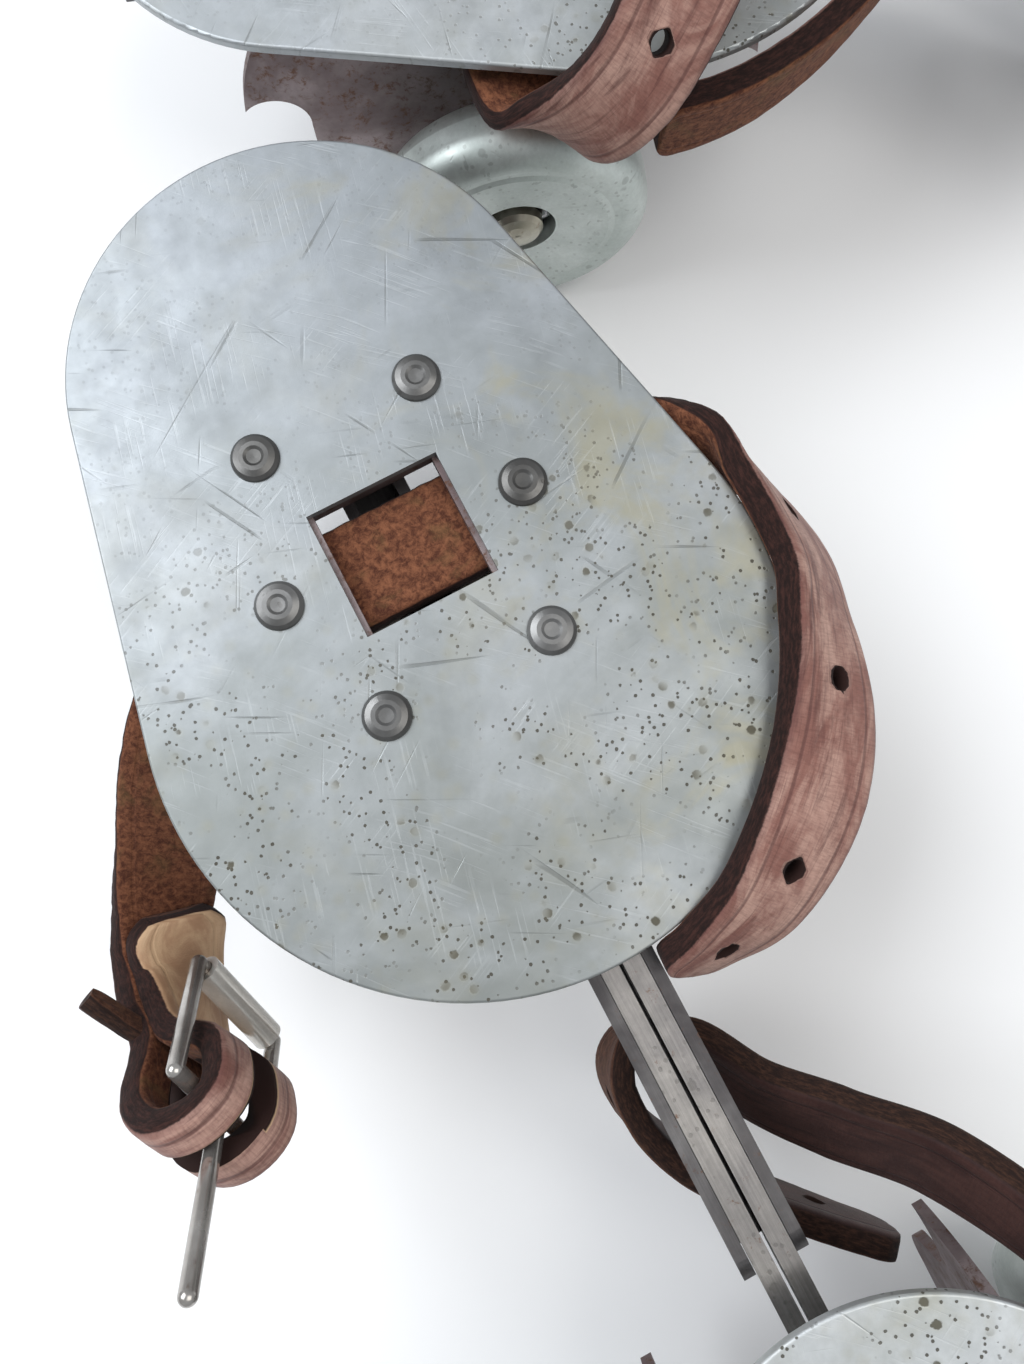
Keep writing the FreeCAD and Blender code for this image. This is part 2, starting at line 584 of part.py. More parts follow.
ANKLE_LOOP = [
    ((18.5, -131.0, -35.5), (-0.10, 0.25, 0.96)),
    ((9.0, -121.5, -36.0), (-0.12, 0.20, 0.97)),
    ((0.8, -112.5, -36.2), (-0.08, 0.10, 0.99)),
    ((-5.4, -104.0, -36.0), (0.0, 0.0, 1.0)),
    ((-8.9, -95.0, -35.0), (0.08, 0.0, 1.0)),
    ((-8.2, -86.8, -34.0), (0.10, 0.0, 0.99)),
    ((-2.6, -83.0, -32.8), (0.16, 0.14, 0.98)),
    ((4.0, -87.2, -31.4), (0.30, 0.20, 0.93)),
    ((9.5, -97.5, -28.6), (0.44, 0.27, 0.86)),
    ((18.2, -106.8, -23.9), (0.52, 0.32, 0.79)),
    ((28.2, -116.0, -17.6), (0.46, 0.34, 0.82)),
    ((35.2, -127.8, -9.8), (0.30, 0.38, 0.87)),
    ((38.8, -141.0, -1.0), (0.14, 0.42, 0.90)),
    ((40.5, -151.0, 8.0), (0.06, 0.40, 0.91)),
    ((38.0, -161.5, 15.0), (0.02, 0.20, 0.98)),
    ((32.6, -175.0, 17.6), (0.0, 0.05, 1.0)),
    ((28.6, -188.0, 18.2), (0.0, 0.0, 1.0)),
    ((20.5, -204.0, 18.2), (0.0, 0.0, 1.0)),
    ((0.0, -214.2, 18.2), (0.0, 0.0, 1.0)),
    ((-20.5, -204.0, 18.2), (0.0, 0.0, 1.0)),
    ((-28.6, -188.0, 18.2), (0.0, 0.0, 1.0)),
    ((-32.6, -175.0, 17.6), (0.0, 0.05, 1.0)),
    ((-38.0, -161.5, 16.4), (0.0, 0.08, 1.0)),
    ((-40.9, -150.0, 13.5), (0.0, 0.06, 1.0)),
]

# The folds round the buckles' bars, in the buckle's own plane: (towards its far side, aside from it).
FRONT_FOLD = [(7.4, 2.6), (2.6, 4.9), (-2.0, 4.8), (-4.9, 1.0), (-4.2, -4.4), (1.6, -8.6)]
FRONT_TILT = 0.15                   # how much the fold's two edges are aside from each other
ANKLE_FOLD = [(8.4, -4.4), (2.2, -4.2), (-2.7, -3.4), (-4.3, 0.0), (-2.7, 3.4), (2.4, 4.4), (8.0, 4.4)]
SLOT_DEEP = 16                      # more than the fold is thick, each way from the bar
SLOT_HALF = 2.1                     # half width of the slot in which the tongue turns
SLOT_FRONT, SLOT_BACK = 10.0, -14.0


def folded(frame, turn_points, tilt=0.0):
    """Strap stations round a buckle's bar, on the skate's own height scale."""
    across = frame.Rotation.multVec(Vector(-1, 0, -tilt))
    stations = []
    for forward, aside in turn_points:
        place = frame.multVec(Vector(0, forward, aside)) - UP * SIZE["plate_top"]
        stations.append((tuple(place), tuple(across)))
    return stations


def laid_on(stations, gap, aside):
    """Stations of a second layer of the strap on the first, nearer its heel edge."""
    result = []
    for number, (centre, across) in enumerate(stations):
        before = Vector(*stations[max(number - 1, 0)][0])
        after = Vector(*stations[min(number + 1, len(stations) - 1)][0])
        along = (after - before).normalize()
        across = Vector(*across)
        across = (across - along * across.dot(along)).normalize()
        place = Vector(*centre) + along.cross(across) * gap - across * aside
        result.append((tuple(place), tuple(across)))
    return result


def smooth(stations):
    """Stations on a smooth curve through the chosen ones."""
    ends = [stations[0]] + stations + [stations[-1]]
    points = [[Vector(*item) for item in pair] for pair in ends]
    result = []
    for before, start, end, after in zip(points, points[1:], points[2:], points[3:]):
        for step in range(STATIONS_PER_SPAN):
            part = step / STATIONS_PER_SPAN
            result.append([catmull(*four, part) for four in zip(before, start, end, after)])
    result.append(points[-1])
    return result


def catmull(before, start, end, after, part):
    """A point between start and end on the curve that also follows their neighbours."""
    linear = end - before
    square = before * 2 - start * 5 + end * 4 - after
    cube = start * 3 - before - end * 3 + after
    return start + (linear * part + square * part ** 2 + cube * part ** 3) * 0.5


def ribbon(stations):
    """A strap: a rectangular section carried along the stations, widths along the station's direction."""
    path = smooth(stations)
    half, thick = SIZE["strap_width"] / 2, SIZE["strap_thick"] / 2
    sections = []
    for number, (centre, across) in enumerate(path):
        before = path[max(number - 1, 0)][0]
        after = path[min(number + 1, len(path) - 1)][0]
        along = (after - before).normalize()
        across = (across - along * across.dot(along)).normalize()
        face = along.cross(across)
        raised = centre + Vector(0, 0, SIZE["plate_top"])
        corners = [raised + across * (half * a) + face * (thick * b) for a, b in
                   ((1, 1), (1, -1), (-1, -1), (-1, 1))]
        sections.append(Part.makePolygon(corners + corners[:1]))
    return Part.makeLoft(sections, True, True)


def strap(label, stations, frame, skate):
    """A strap with its slot for the tongue."""
    size = (2 * SLOT_HALF, SLOT_FRONT - SLOT_BACK, 2 * SLOT_DEEP)
    slot = Part.makeBox(*size, Vector(-SLOT_HALF, SLOT_BACK, -SLOT_DEEP))
    slot.Placement = frame.multiply(slot.Placement)
    shaped(ribbon(stations).cut(slot), label, skate)


# ---------------------------------------------------------------- buckles

def buckle_frame(bar, along, reach):
    """Placement whose X is a buckle's bar, Y the way to its far side, at the middle of the bar."""
    x = Vector(*along).normalize()
    y = Vector(*reach)
    y = (y - x * y.dot(x)).normalize()
    z = x.cross(y)
    matrix = FreeCAD.Matrix(x.x, y.x, z.x, bar[0], x.y, y.y, z.y, bar[1],
                            x.z, y.z, z.z, bar[2] + SIZE["plate_top"], 0, 0, 0, 1)
    return Placement(matrix)


def mirror_side(vector):
    return (-vector[0], vector[1], vector[2])


def buckle(name, frame, skate, with_roller):
    """A wire frame, its tongue, and a roller on the far side."""
    wire, half = SIZE["wire_radius"], SIZE["buckle_width"] / 2
    reach, length = SIZE["buckle_reach"], SIZE["tongue_reach"]
    corners = [Vector(-half, 0, 0), Vector(half, 0, 0), Vector(half, reach, 0), Vector(-half, reach, 0)]
    solid = None
    for start, end in zip(corners, corners[1:] + corners[:1]):
        side = Part.makeCylinder(wire, (end - start).Length, start, end - start)
        piece = side.fuse(Part.makeSphere(wire, start))
        solid = piece if solid is None else solid.fuse(piece)
    shaped(solid.removeSplitter(), name + "buckle", skate, frame)
    if with_roller:
        end = half - wire - 0.3
        tube = turned([(-end, wire + RUNNING_GAP), (end, wire + RUNNING_GAP), (end, wire + 1.1),
                       (-end, wire + 1.1)])
        shaped(tube, name + "buckle_roller", skate,
               frame.multiply(Placement(Vector(0, reach, 0), Rotation())))
    eye = turned([(-1.6, wire + RUNNING_GAP), (1.6, wire + RUNNING_GAP), (1.6, wire + 1.2), (-1.6, wire + 1.2)])
    start = Vector(0, -wire - 0.8, 0)
    prong = Part.makeCylinder(wire, length - wire - 0.8, start, Vector(0, -1, 0))
    tip = Part.makeSphere(wire, Vector(0, -length, 0))
    shaped(eye.fuse(prong).fuse(tip).removeSplitter(), name + "buckle_tongue", skate, frame)


# ---------------------------------------------------------------- the pair

FRONT_BUCKLE = ((-58.8, -58.4, -5.8), (0.06, -0.80, -0.59), (0.20, 0.59, -0.78))
ANKLE_BUCKLE = ((-41.6, -132.6, 12.0), (0.0, 0.0, -1.0), (-0.20, -0.98, 0.0))


def skate_parts(name, place, is_left):
    side = (lambda vector: vector) if is_left else mirror_side
    front_plate(name, place)
    rivet_set(name, place)
    bracket(name, place)
    keel(name, place)
    heel_plate(name, place)
    rivet_set(name, place, rear=True)
    bracket(name, place, rear=True)
    slider(name, place)
    clamp(name, place)
    heel_cup(name, place)
    for rear in (False, True):
        axle(name, place, rear)
        axle_fasteners(name, place, rear)
        for hand in (1, -1):
            wheel(name, place, rear, hand)
            balls(name, place, rear, hand)
    front_bar = buckle_frame(*FRONT_BUCKLE)
    ankle_bar = buckle_frame(*ANKLE_BUCKLE)
    tail = laid_on(BUCKLE_END[:TAIL_STATIONS + 1], TAIL_GAP, TAIL_ASIDE)[:TAIL_STATIONS]
    stations = tail[::-1] + folded(front_bar, FRONT_FOLD, FRONT_TILT) + BUCKLE_END + UNDER_PLATE
    loop = ANKLE_LOOP + folded(ankle_bar, ANKLE_FOLD)
    if is_left:
        stations = stations + LEFT_FREE_END
    else:
        stations = mirrored(stations) + RIGHT_FREE_END
        loop = mirrored(loop)
    front = buckle_frame(*[side(vector) for vector in FRONT_BUCKLE])
    ankle = buckle_frame(*[side(vector) for vector in ANKLE_BUCKLE])
    strap(name + "front_strap", stations, front, place)
    strap(name + "ankle_strap", loop, ankle, place)
    buckle(name + "front_", front, place, with_roller=True)
    buckle(name + "ankle_", ankle, place, with_roller=False)


skate_parts("left_skate_", Placement(), True)
skate_parts("right_skate_", Placement(SECOND_SKATE_PLACE, Rotation(Vector(0, 0, 1), SECOND_SKATE_TURN)), False)


def settle(shift):
    """Put every sub-part in its place in the pair, moved by a shift."""
    for feature, local, skate in finished:
        feature.Placement = Placement(shift, Rotation()).multiply(skate).multiply(local)
    doc.recompute()


settle(Vector(0, 0, 0))
reach = FreeCAD.BoundBox()
for feature, local, skate in finished:
    reach.add(feature.Shape.optimalBoundingBox(True, False))
shift = Vector(-reach.Center.x, -reach.Center.y, 0)
settle(shift)

for feature in doc.Objects:
    if "Invalid" in feature.State or "Error" in feature.State:
        raise RuntimeError(f"{feature.Label} did not recompute: {feature.State}")
for feature, local, skate in finished:
    if feature.Shape.isNull() or not feature.Shape.isValid():
        raise RuntimeError(f"{feature.Label} has no valid shape")

os.makedirs("parts", exist_ok=True)
for feature, local, skate in finished:
    feature.Shape.exportStep(f"parts/{feature.Label}.step")
print("nodes", len(finished), "shift", round(shift.x, 4), round(shift.y, 4),
      "size", round(reach.XLength, 1), round(reach.YLength, 1), round(reach.ZMax, 1), "low", round(reach.ZMin, 3))
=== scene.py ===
import json
import math

import bmesh
import bpy
from mathutils import Matrix, Vector, noise


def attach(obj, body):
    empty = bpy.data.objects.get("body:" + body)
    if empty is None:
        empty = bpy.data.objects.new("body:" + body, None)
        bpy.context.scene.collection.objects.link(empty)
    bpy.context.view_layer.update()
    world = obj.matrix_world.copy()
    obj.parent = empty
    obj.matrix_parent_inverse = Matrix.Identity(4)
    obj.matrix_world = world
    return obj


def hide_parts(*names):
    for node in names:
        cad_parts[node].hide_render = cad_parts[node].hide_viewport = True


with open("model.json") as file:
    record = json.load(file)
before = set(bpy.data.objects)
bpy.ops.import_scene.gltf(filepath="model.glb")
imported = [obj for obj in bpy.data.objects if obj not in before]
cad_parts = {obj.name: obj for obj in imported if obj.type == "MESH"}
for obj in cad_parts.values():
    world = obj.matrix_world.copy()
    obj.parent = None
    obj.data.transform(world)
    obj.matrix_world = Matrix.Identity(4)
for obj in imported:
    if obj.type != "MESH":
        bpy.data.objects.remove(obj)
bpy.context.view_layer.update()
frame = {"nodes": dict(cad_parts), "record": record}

# A pair of quad roller skates.  Places are worked out in millimetres in each skate's own frame: X to its
# right, Y to its toe, Z up, from the middle of the sole plate's window at the height of the plate's top.
MM = 0.001
UP = Vector((0, 0, 1))
SIDES = ("left", "right")
STRAP_WIDTH = 16.0
STRAP_THICK = 4.2
EDGE_AIR = 1.1                # how far a strap stands above the plate's edge that it leans over
PLATE_HALF_WIDTH = 46.0
WAIST_CENTRE = -19.9          # y of the centre of the sole plate's wide rear arc
TOE_SEAT = 42.0               # y of the mount called toe_seat
RING_SPACING = 0.9            # between the rings of a strap's mesh
MEASURE_SPACING = 0.5         # between the points that measure along a strap
EDGE_ROUNDING = 0.9           # how far in from a strap's cut edge its faces are flat


# ---------------------------------------------------------------- each skate's own frame

def skate_matrix(side):
    """The matrix from a skate's millimetres to the scene, worked out from its two seat mounts."""
    places = {mount["name"]: Vector(mount["pos_m"]) for mount in frame["record"]["mounts"]}
    toe, heel = places[f"{side}_skate_toe_seat"], places[f"{side}_skate_heel_seat"]
    toward_toe = (toe - heel).normalized()
    to_right = toward_toe.cross(UP)
    origin = toe - toward_toe * (TOE_SEAT * MM)
    turn = Matrix((to_right, toward_toe, UP)).transposed().to_4x4()
    return Matrix.Translation(origin) @ turn @ Matrix.Scale(MM, 4)


PLACE = {side: skate_matrix(side) for side in SIDES}


def piece_from(bm, name):
    """An object in the scene with a bmesh's shape, which is then let go."""
    mesh = bpy.data.meshes.new(name)
    bm.to_mesh(mesh)
    bm.free()
    piece = bpy.data.objects.new(name, mesh)
    bpy.context.scene.collection.objects.link(piece)
    return piece


# ---------------------------------------------------------------- camera, floor and light

def make_camera():
    """The camera stands just over the left skate's window and looks almost straight down."""
    data = bpy.data.cameras.new("camera")
    data.sensor_width = 36.0
    data.lens = 27.05
    data.clip_start = 0.005
    camera = bpy.data.objects.new("camera", data)
    to_right = Vector((0.88546, -0.46472, 0.00019))
    upward = Vector((0.4612, 0.87881, 0.12244))
    backward = to_right.cross(upward)
    turn = Matrix((to_right, upward, backward)).transposed().to_4x4()
    camera.matrix_world = Matrix.Translation(PLACE["left"] @ Vector((-3.54, -40.42, 142.42))) @ turn
    bpy.context.scene.collection.objects.link(camera)
    bpy.context.scene.camera = camera


def area_light(name, place, size, power, colour, target=(0, 0, 0.03)):
    data = bpy.data.lights.new(name, "AREA")
    data.shape = "RECTANGLE"
    data.size, data.size_y = size
    data.energy = power
    data.color = colour
    lamp = bpy.data.objects.new(name, data)
    lamp.location = place
    lamp.rotation_euler = (Vector(target) - Vector(place)).to_track_quat("-Z", "Y").to_euler()
    bpy.context.scene.collection.objects.link(lamp)


def make_studio():
    """A plain pale floor under soft, nearly white light."""
    world = bpy.data.worlds.new("studio")
    world.use_nodes = True
    background = world.node_tree.nodes["Background"]
    background.inputs["Color"].default_value = (0.93, 0.96, 1.0, 1)
    background.inputs["Strength"].default_value = 0.50
    bpy.context.scene.world = world
    bpy.context.scene.view_settings.view_transform = "Standard"
    area_light("window_light", (-0.55, 0.55, 0.85), (0.9, 0.7), 10.5, (0.93, 0.96, 1.0))
    area_light("ceiling_light", (0.35, -0.25, 1.0), (0.8, 0.8), 5, (1.0, 0.98, 0.95))
    bm = bmesh.new()
    bmesh.ops.create_grid(bm, x_segments=2, y_segments=2, size=3.0)
    floor = piece_from(bm, "floor")
    paint = Shader("floor_paint")
    paint.skin(Roughness=0.9, **{"Base Color": (0.93, 0.93, 0.93, 1)})
    floor.data.materials.append(paint.material)


# ---------------------------------------------------------------- procedural materials

class Shader:
    """Writes a material's nodes from readable calls.  Every call returns the socket that it makes."""

    def __init__(self, name):
        self.material = bpy.data.materials.new(name)
        self.material.use_nodes = True
        self.nodes = self.material.node_tree.nodes
        self.links = self.material.node_tree.links
        self.nodes.clear()
        output = self.nodes.new("ShaderNodeOutputMaterial")
        self.surface = self.nodes.new("ShaderNodeBsdfPrincipled")
        self.links.new(self.surface.outputs["BSDF"], output.inputs["Surface"])

    def put(self, socket, value):
        """Link a socket to another one, or set it to a constant."""
        if isinstance(value, bpy.types.NodeSocket):
            self.links.new(value, socket)
        else:
            socket.default_value = value

    def skin(self, **inputs):
        """Set or link inputs of the surface."""
        for name, value in inputs.items():
            self.put(self.surface.inputs[name], value)

    def place(self, matrix):
        """Coordinates in a skate's own millimetres."""
        coordinates = self.nodes.new("ShaderNodeTexCoord").outputs["Object"]
        back = matrix.inverted()
        mapping = self.nodes.new("ShaderNodeMapping")
        mapping.inputs["Location"].default_value = back.to_translation()
        mapping.inputs["Rotation"].default_value = back.to_euler()
        mapping.inputs["Scale"].default_value = (1 / MM, 1 / MM, 1 / MM)
        self.links.new(coordinates, mapping.inputs["Vector"])
        return mapping.outputs["Vector"]

    def attribute(self, name, output):
        node = self.nodes.new("ShaderNodeAttribute")
        node.attribute_name = name
        return node.outputs[output]

    def stretch(self, vector, scale, turn=0.0, shift=(0, 0, 0)):
        """Coordinates for a pattern that is finer along an axis with a high scale, longer along a low one."""
        mapping = self.nodes.new("ShaderNodeMapping")
        mapping.vector_type = "TEXTURE"
        mapping.inputs["Scale"].default_value = tuple(1 / part for part in scale)
        mapping.inputs["Rotation"].default_value = (0, 0, math.radians(turn))
        mapping.inputs["Location"].default_value = shift
        self.links.new(vector, mapping.inputs["Vector"])
        return mapping.outputs["Vector"]

    def noise(self, vector, scale, detail=3.0, rough=0.55, warp=0.0):
        node = self.nodes.new("ShaderNodeTexNoise")
        self.links.new(vector, node.inputs["Vector"])
        node.inputs["Scale"].default_value = scale
        node.inputs["Detail"].default_value = detail
        node.inputs["Roughness"].default_value = rough
        node.inputs["Distortion"].default_value = warp
        return node.outputs["Fac"]

    def cells(self, vector, scale):
        """The distance to the nearest of many scattered points."""
        node = self.nodes.new("ShaderNodeTexVoronoi")
        self.links.new(vector, node.inputs["Vector"])
        node.inputs["Scale"].default_value = scale
        return node.outputs["Distance"]

    def calc(self, operation, first, second):
        """The result of a math node."""
        node = self.nodes.new("ShaderNodeMath")
        node.operation = operation
        self.put(node.inputs[0], first)
        self.put(node.inputs[1], second)
        return node.outputs[0]

    def span(self, value, low, high, start=0.0, end=1.0):
        """value, moved from low..high to start..end with soft ends."""
        node = self.nodes.new("ShaderNodeMapRange")
        node.interpolation_type = "SMOOTHSTEP"
        self.put(node.inputs["Value"], value)
        node.inputs["From Min"].default_value = low
        node.inputs["From Max"].default_value = high
        node.inputs["To Min"].default_value = start
        node.inputs["To Max"].default_value = end
        return node.outputs["Result"]

    def mix(self, share, first, second):
        """The first colour, with a share of the second."""
        node = self.nodes.new("ShaderNodeMix")
        node.data_type = "RGBA"
        self.put(node.inputs[0], share)
        self.put(node.inputs[6], first)
        self.put(node.inputs[7], second)
        return node.outputs[2]

    def part(self, vector, axis):
        """The X, Y or Z of a vector, for an axis of 0, 1 or 2."""
        node = self.nodes.new("ShaderNodeSeparateXYZ")
        self.links.new(vector, node.inputs[0])
        return node.outputs[axis]

    def bump(self, height, distance, strength):
        """A surface whose relief is distance millimetres deep."""
        node = self.nodes.new("ShaderNodeBump")
        node.inputs["Distance"].default_value = distance * MM
        node.inputs["Strength"].default_value = strength
        self.links.new(height, node.inputs["Height"])
        return node.outputs["Normal"]


def linear(level):
    """The linear light of a screen level from 0 to 1."""
    return ((level + 0.055) / 1.055) ** 2.4 if level > 0.04 else level / 12.92


def tint(red, green, blue):
    """A linear colour from the usual 0 to 255 values."""
    return (linear(red / 255), linear(green / 255), linear(blue / 255), 1.0)


def scratches(shader, where, directions, scale, keep):
    """Long thin marks in several directions: stretched noise, cut off near its peaks."""
    total = None
    for number, turn in enumerate(directions):
        lines = shader.noise(shader.stretch(where, (0.045, 1.5, 1.0), turn, (number * 7.3, number * 3.1, 0)),
                             scale, 2.0, 0.5, 0.15)
        streak = shader.span(lines, keep, keep + 0.05)
        elsewhere = shader.stretch(where, (1, 1, 1), 0, (number * 31.0, 5, 0))
        patch = shader.span(shader.noise(elsewhere, 0.055, 2.0), 0.52, 0.62)
        mark = shader.calc("MULTIPLY", streak, patch)
        total = mark if total is None else shader.calc("MAXIMUM", total, mark)
    return total


def speckles(shader, where, scale, size, cover):
    """Irregular pits: small cells that show only where a cloud is dense."""
    ragged = shader.noise(where, scale * 2.7, 3.0, 0.6)
    cell = shader.calc("SUBTRACT", shader.cells(where, scale), shader.calc("MULTIPLY", ragged, 0.22))
    spots = shader.span(cell, size, size - 0.07)
    cloud = shader.span(shader.noise(where, 0.06, 3.0, 0.6), cover, cover + 0.12)
    return shader.calc("MULTIPLY", spots, cloud)


RUST = (96, 62, 38)


def worn_metal(name, matrix, light, dark, rough, pits=0.0, marks=0.0, rust=0.0, brushed=False,
               metallic=0.85):
    """Old bare or plated steel: cloudy colour, and as much pitting, scratching and rust as asked."""
    shader = Shader(name)
    where = shader.place(matrix)
    clouds = shader.noise(where, 0.035, 5.0, 0.6, 0.4)
    colour = shader.mix(shader.span(clouds, 0.36, 0.66), tint(*dark), tint(*light))
    grain = shader.noise(where, 1.4, 4.0, 0.7)
    colour = shader.mix(shader.span(grain, 0.3, 0.75, 0.10, 0.0), colour, tint(40, 40, 42))
    height = shader.calc("MULTIPLY", grain, 0.25)
    if brushed:
        lines = shader.noise(shader.stretch(where, (1.0, 0.03, 1.0)), 2.6, 3.0, 0.7)
        colour = shader.mix(shader.span(lines, 0.35, 0.7, 0.22, 0.0), colour, tint(45, 44, 46))
        height = shader.calc("ADD", height, shader.calc("MULTIPLY", lines, 0.4))
    if marks:
        deep = scratches(shader, where, (12, 58, 97, 141, -24), 0.42, 0.66)
        colour = shader.mix(shader.calc("MULTIPLY", deep, marks), colour, tint(70, 70, 68))
        height = shader.calc("SUBTRACT", height, deep)
    if pits:
        small = speckles(shader, where, 0.62, 0.13, 0.47)
        large = speckles(shader, where, 0.25, 0.115, 0.53)
        holes = shader.calc("MULTIPLY", shader.calc("MAXIMUM", small, large), pits)
        colour = shader.mix(holes, colour, tint(74, 71, 66))
        height = shader.calc("SUBTRACT", height, holes)
    if rust:
        freckles = shader.noise(where, 0.5, 6.0, 0.75, 0.3)
        cover = shader.span(freckles, 0.62 - rust * 0.22, 0.74 - rust * 0.12)
        colour = shader.mix(shader.calc("MULTIPLY", cover, 0.8), colour, tint(*RUST))
    roughness = shader.span(shader.noise(where, 0.12, 4.0, 0.65), 0.3, 0.7, *rough)
    shader.skin(Roughness=roughness, Metallic=metallic,
                Normal=shader.bump(height, 0.05, 0.6), **{"Base Color": colour})
    return shader


def plate_metal(name, matrix, lift):
    """Galvanised plate: cool grey, ochre stains to the right, pitted most towards the heel end.

    lift is painted light: it is added to each part of the plain metal's colour, out of 255, so that brighter
    lit copies of the same plate are painted lighter.
    """
    shader = Shader(name)
    where = shader.place(matrix)
    across, along = shader.part(where, 0), shader.part(where, 1)
    clouds = shader.noise(where, 0.03, 5.0, 0.6, 0.5)
    fine = shader.noise(where, 0.28, 5.0, 0.68)
    # lift paints light: it raises the plain metal's colour to make a lit copy of the same plate.
    dull = tint(138 + lift, 142 + lift, 140 + lift)
    bright = tint(162 + lift, 166 + lift, 168 + lift)
    colour = shader.mix(shader.span(clouds, 0.35, 0.65), dull, bright)
    toward_toe = shader.span(along, -35.0, 55.0)
    colour = shader.mix(shader.calc("MULTIPLY", toward_toe, 0.45), colour, tint(156, 162, 171))
    colour = shader.mix(shader.span(fine, 0.35, 0.72, 0.20, 0.0), colour, tint(120, 125, 124))
    stain_cloud = shader.span(shader.noise(where, 0.05, 4.0, 0.65, 0.8), 0.46, 0.68)
    stain = shader.calc("MULTIPLY", stain_cloud, shader.span(across, -8.0, 26.0, 0.10, 0.55))
    colour = shader.mix(stain, colour, tint(156, 150, 122))
    crystals = shader.cells(shader.stretch(where, (1, 1, 1), 20), 0.22)
    colour = shader.mix(shader.span(crystals, 0.1, 0.9, 0.05, 0.0), colour, tint(200, 206, 210))
    deep = scratches(shader, where, (8, 36, 63, 118, 152, -20), 0.42, 0.655)
    hair = scratches(shader, where, (25, 77, 131, -41), 1.5, 0.60)
    colour = shader.mix(shader.calc("MULTIPLY", hair, 0.16), colour, tint(196, 200, 202))
    colour = shader.mix(shader.calc("MULTIPLY", deep, 0.42), colour, tint(78, 80, 76))
    toward_heel = shader.span(along, 26.0, -24.0, 0.12, 1.0)
    small = speckles(shader, where, 0.85, 0.13, 0.42)
    large = speckles(shader, where, 0.30, 0.12, 0.50)
    pits = shader.calc("MULTIPLY", shader.calc("MAXIMUM", small, large), toward_heel)
    colour = shader.mix(shader.calc("MULTIPLY", pits, 0.85), colour, tint(84, 79, 68))
    halo = shader.span(shader.cells(where, 0.30), 0.42, 0.05, 0.0, 0.16)
    colour = shader.mix(shader.calc("MULTIPLY", halo, toward_heel), colour, tint(148, 142, 112))
    dents = shader.calc("ADD", shader.calc("MULTIPLY", fine, 0.35), shader.calc("MULTIPLY", hair, -0.2))
    height = shader.calc("SUBTRACT", dents, shader.calc("MAXIMUM", pits, deep))
    rough = shader.span(shader.noise(where, 0.09, 4.0, 0.65), 0.3, 0.7, 0.38, 0.56)
    shader.skin(Roughness=shader.calc("ADD", rough, shader.calc("MULTIPLY", pits, 0.3)), Metallic=0.72,
                Normal=shader.bump(height, 0.06, 0.7), **{"Base Color": colour})
    return shader


